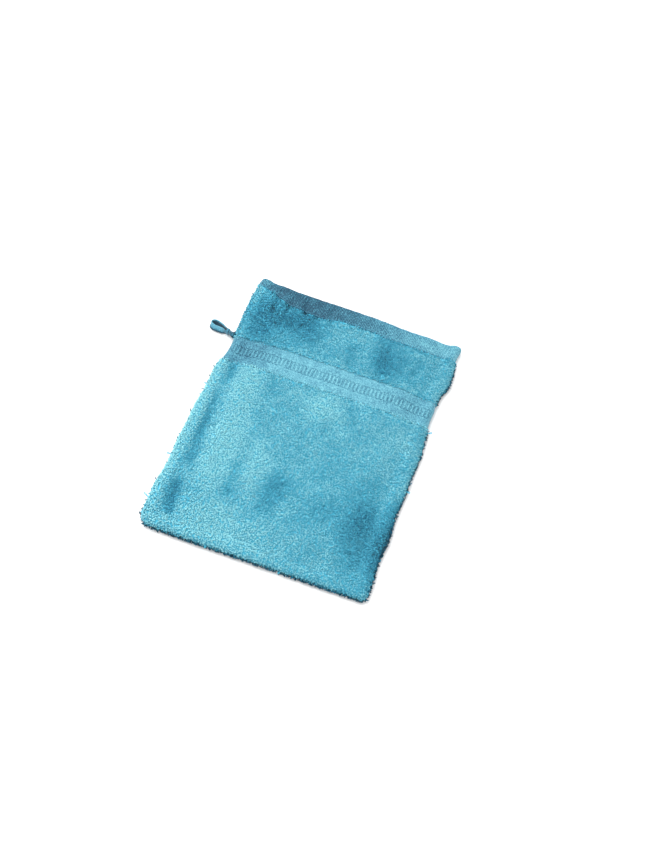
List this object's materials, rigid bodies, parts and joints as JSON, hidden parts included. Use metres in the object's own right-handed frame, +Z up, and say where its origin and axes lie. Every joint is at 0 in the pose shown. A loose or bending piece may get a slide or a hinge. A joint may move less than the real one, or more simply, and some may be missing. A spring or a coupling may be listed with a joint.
{
  "type": "wash mitt",
  "caption": "Rectangular terry-cloth wash mitt with a flat woven border band, a hemmed open mouth and a small tape hanging loop in one side seam.",
  "frame": {"origin": "on the surface the mitt lies on, under the middle of its two panels, the hanging loop left out", "axes": "+X across the mitt, away from the side seam with the hanging loop; +Y from the closed end towards the open mouth; +Z up out of the front panel"},
  "size_m": [0.1784, 0.21, 0.0123],
  "materials": {
    "terry_cloth": "looped cotton terry pile, turquoise, matt",
    "sewing_thread": "spun polyester sewing thread, turquoise, slight sheen",
    "loop_tape": "narrow woven cotton tape, pale teal, matt"
  },
  "bodies": {
    "back": {"back_panel": "terry_cloth", "left_seam_thread": "sewing_thread", "right_seam_thread": "sewing_thread", "end_seam_thread": "sewing_thread", "back_hem_thread": "sewing_thread"},
    "front": {"front_panel": "terry_cloth", "front_hem_thread": "sewing_thread"},
    "loop": {"hanging_loop": "loop_tape", "loop_tack": "sewing_thread"}
  },
  "joints": [
    {"name": "mouth_opening", "type": "hinge", "parent": "back", "child": "front", "pos_m": [0, -0.105, 0.00355], "axis": [1, 0, 0], "range_deg": [0, 8]},
    {"name": "loop_swing", "type": "hinge", "parent": "back", "child": "loop", "pos_m": [-0.0817, 0.0556, 0.00355], "axis": [0, 1, 0], "range_deg": [0, 85]}
  ]
}
